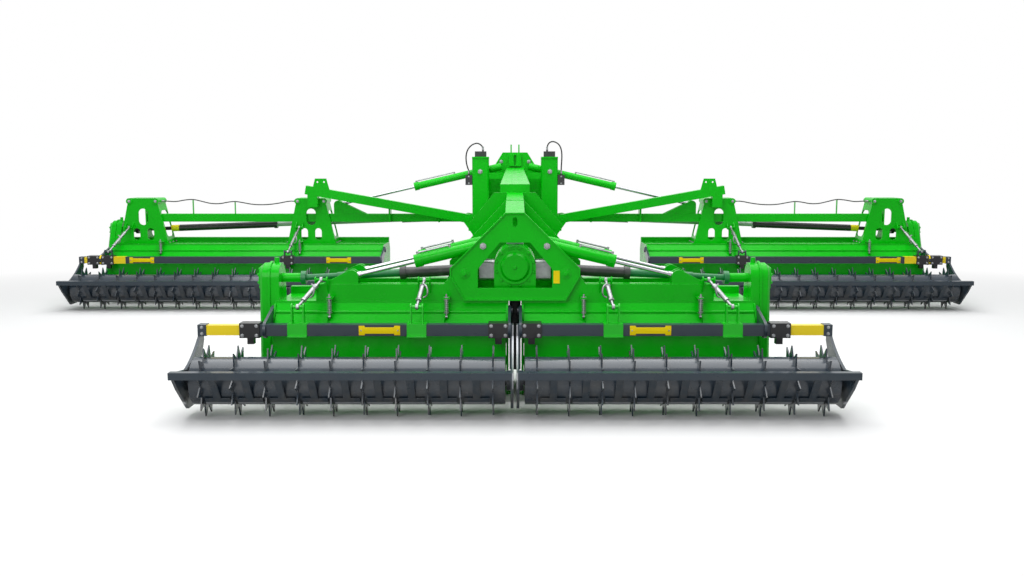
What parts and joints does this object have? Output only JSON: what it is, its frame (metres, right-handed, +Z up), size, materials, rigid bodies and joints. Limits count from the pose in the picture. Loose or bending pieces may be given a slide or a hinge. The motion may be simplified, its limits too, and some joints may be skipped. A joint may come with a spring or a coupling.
{
  "type": "folding rotary tiller",
  "caption": "Wide folding rotary tiller: carried centre frame with rear tiller units side by side and hinged wing units ahead, each with a tine rotor, hood and spiked packer roller.",
  "frame": {"origin": "centre of the overall box, on the ground", "axes": "+X to the right seen from behind, +Y the direction of travel, +Z up"},
  "size_m": [12.81, 8.3, 2.4089],
  "materials": {
    "green_paint": "satin paint",
    "dark_paint": "satin paint",
    "dark_steel": "worn paint",
    "bright_steel": "zinc plated",
    "chrome_rod": "polished",
    "black_plastic": "matte",
    "black_iron": "satin",
    "hose_rubber": "matte"
  },
  "bodies": {
    "frame": {"front_gearbox": "green_paint", "headstock": "green_paint", "hose_loop_left": "hose_rubber", "hose_loop_right": "hose_rubber", "main_driveline": "black_plastic", "rear_a_frame": "green_paint", "rear_gearbox": "green_paint", "shaft_guards": "bright_steel", "spine": "green_paint", "valve_blocks": "black_iron", "wing_posts": "green_paint"},
    "wing_right": {"wing_adjusters_right": "bright_steel", "wing_drive_case_right": "green_paint", "wing_drive_shaft_right": "black_plastic", "wing_frame_right": "green_paint", "wing_hood_right": "green_paint", "wing_hose_right": "hose_rubber", "wing_roller_frame_right": "dark_paint", "wing_stands_right": "green_paint", "wing_tail_board_right": "green_paint"},
    "rear_right": {"rear_adjusters_right": "bright_steel", "rear_carrier_right": "green_paint", "rear_drive_case_right": "green_paint", "rear_drive_shaft_right": "black_plastic", "rear_hood_right": "green_paint", "rear_roller_frame_right": "dark_paint", "rear_tail_board_right": "green_paint"},
    "wing_roller_right": {"wing_roller_right": "dark_paint"},
    "rear_roller_right": {"rear_roller_right": "dark_paint"},
    "wing_rotor_right": {"wing_rotor_right": "dark_steel"},
    "rear_rotor_right": {"rear_rotor_right": "dark_steel"},
    "wing_barrel_right": {"wing_cylinder_barrel_right": "green_paint"},
    "wing_rod_right": {"wing_cylinder_rod_right": "chrome_rod"},
    "rear_barrels_right": {"rear_cylinder_barrels_right": "green_paint"},
    "rear_rods_right": {"rear_cylinder_rods_right": "chrome_rod"},
    "wing_left": {"wing_adjusters_left": "bright_steel", "wing_drive_case_left": "green_paint", "wing_drive_shaft_left": "black_plastic", "wing_frame_left": "green_paint", "wing_hood_left": "green_paint", "wing_hose_left": "hose_rubber", "wing_roller_frame_left": "dark_paint", "wing_stands_left": "green_paint", "wing_tail_board_left": "green_paint"},
    "rear_left": {"rear_adjusters_left": "bright_steel", "rear_carrier_left": "green_paint", "rear_drive_case_left": "green_paint", "rear_drive_shaft_left": "black_plastic", "rear_hood_left": "green_paint", "rear_roller_frame_left": "dark_paint", "rear_tail_board_left": "green_paint"},
    "wing_roller_left": {"wing_roller_left": "dark_paint"},
    "rear_roller_left": {"rear_roller_left": "dark_paint"},
    "wing_rotor_left": {"wing_rotor_left": "dark_steel"},
    "rear_rotor_left": {"rear_rotor_left": "dark_steel"},
    "wing_barrel_left": {"wing_cylinder_barrel_left": "green_paint"},
    "wing_rod_left": {"wing_cylinder_rod_left": "chrome_rod"},
    "rear_barrels_left": {"rear_cylinder_barrels_left": "green_paint"},
    "rear_rods_left": {"rear_cylinder_rods_left": "chrome_rod"}
  },
  "joints": [
    {"name": "wing_fold_right", "type": "hinge", "parent": "frame", "child": "wing_right", "pos_m": [0.72, 3.25, 1.25], "axis": [0, -1, 0], "range_deg": [0, 80]},
    {"name": "rear_fold_right", "type": "hinge", "parent": "frame", "child": "rear_right", "pos_m": [0.455, -2.75, 1.13], "axis": [0, -1, 0], "range_deg": [0, 90]},
    {"name": "wing_roller_spin_right", "type": "hinge", "parent": "wing_right", "child": "wing_roller_right", "pos_m": [4, 2.25, 0.3], "axis": [1, 0, 0], "continuous": true},
    {"name": "wing_rotor_spin_right", "type": "hinge", "parent": "wing_right", "child": "wing_rotor_right", "pos_m": [4, 3.25, 0.272], "axis": [1, 0, 0], "continuous": true},
    {"name": "rear_roller_spin_right", "type": "hinge", "parent": "rear_right", "child": "rear_roller_right", "pos_m": [1.2, -3.75, 0.3], "axis": [1, 0, 0], "continuous": true},
    {"name": "rear_rotor_spin_right", "type": "hinge", "parent": "rear_right", "child": "rear_rotor_right", "pos_m": [1.2, -2.75, 0.272], "axis": [1, 0, 0], "continuous": true},
    {"name": "wing_cylinder_swing_right", "type": "hinge", "parent": "frame", "child": "wing_barrel_right", "pos_m": [0.5, 3.35, 1.96], "axis": [0, -1, 0], "range_deg": [-0.5, 87.5]},
    {"name": "wing_cylinder_stroke_right", "type": "slide", "parent": "wing_barrel_right", "child": "wing_rod_right", "axis": [-0.9742, 0, 0.2258], "range_m": [-0.002, 0.93395]},
    {"name": "rear_cylinder_swing_right", "type": "hinge", "parent": "frame", "child": "rear_barrels_right", "pos_m": [0.286, -2.75, 1.38], "axis": [0, -1, 0], "range_deg": [-0.5, 89.18]},
    {"name": "rear_cylinder_stroke_right", "type": "slide", "parent": "rear_barrels_right", "child": "rear_rods_right", "axis": [-0.9727, 0, 0.2322], "range_m": [-0.002, 0.42814]},
    {"name": "wing_fold_left", "type": "hinge", "parent": "frame", "child": "wing_left", "pos_m": [-0.72, 3.25, 1.25], "axis": [0, 1, 0], "range_deg": [0, 80]},
    {"name": "rear_fold_left", "type": "hinge", "parent": "frame", "child": "rear_left", "pos_m": [-0.455, -2.75, 1.13], "axis": [0, 1, 0], "range_deg": [0, 90]},
    {"name": "wing_roller_spin_left", "type": "hinge", "parent": "wing_left", "child": "wing_roller_left", "pos_m": [-4, 2.25, 0.3], "axis": [1, 0, 0], "continuous": true},
    {"name": "wing_rotor_spin_left", "type": "hinge", "parent": "wing_left", "child": "wing_rotor_left", "pos_m": [-4, 3.25, 0.272], "axis": [1, 0, 0], "continuous": true},
    {"name": "rear_roller_spin_left", "type": "hinge", "parent": "rear_left", "child": "rear_roller_left", "pos_m": [-1.2, -3.75, 0.3], "axis": [1, 0, 0], "continuous": true},
    {"name": "rear_rotor_spin_left", "type": "hinge", "parent": "rear_left", "child": "rear_rotor_left", "pos_m": [-1.2, -2.75, 0.272], "axis": [1, 0, 0], "continuous": true},
    {"name": "wing_cylinder_swing_left", "type": "hinge", "parent": "frame", "child": "wing_barrel_left", "pos_m": [-0.5, 3.35, 1.96], "axis": [0, 1, 0], "range_deg": [-0.5, 87.5]},
    {"name": "wing_cylinder_stroke_left", "type": "slide", "parent": "wing_barrel_left", "child": "wing_rod_left", "axis": [0.9742, 0, 0.2258], "range_m": [-0.002, 0.93395]},
    {"name": "rear_cylinder_swing_left", "type": "hinge", "parent": "frame", "child": "rear_barrels_left", "pos_m": [-0.286, -2.75, 1.38], "axis": [0, 1, 0], "range_deg": [-0.5, 89.18]},
    {"name": "rear_cylinder_stroke_left", "type": "slide", "parent": "rear_barrels_left", "child": "rear_rods_left", "axis": [0.9727, 0, 0.2322], "range_m": [-0.002, 0.42814]}
  ],
  "couplings": [
    {"joint": "wing_cylinder_swing_right", "follows": "wing_fold_right", "ratio": 1.0874},
    {"joint": "wing_cylinder_stroke_right", "follows": "wing_fold_right", "m_per_rad": 0.66746},
    {"joint": "rear_cylinder_swing_right", "follows": "rear_fold_right", "ratio": 0.98531},
    {"joint": "rear_cylinder_stroke_right", "follows": "rear_fold_right", "m_per_rad": 0.27129},
    {"joint": "wing_cylinder_swing_left", "follows": "wing_fold_left", "ratio": 1.0874},
    {"joint": "wing_cylinder_stroke_left", "follows": "wing_fold_left", "m_per_rad": 0.66746},
    {"joint": "rear_cylinder_swing_left", "follows": "rear_fold_left", "ratio": 0.98531},
    {"joint": "rear_cylinder_stroke_left", "follows": "rear_fold_left", "m_per_rad": 0.27129}
  ]
}
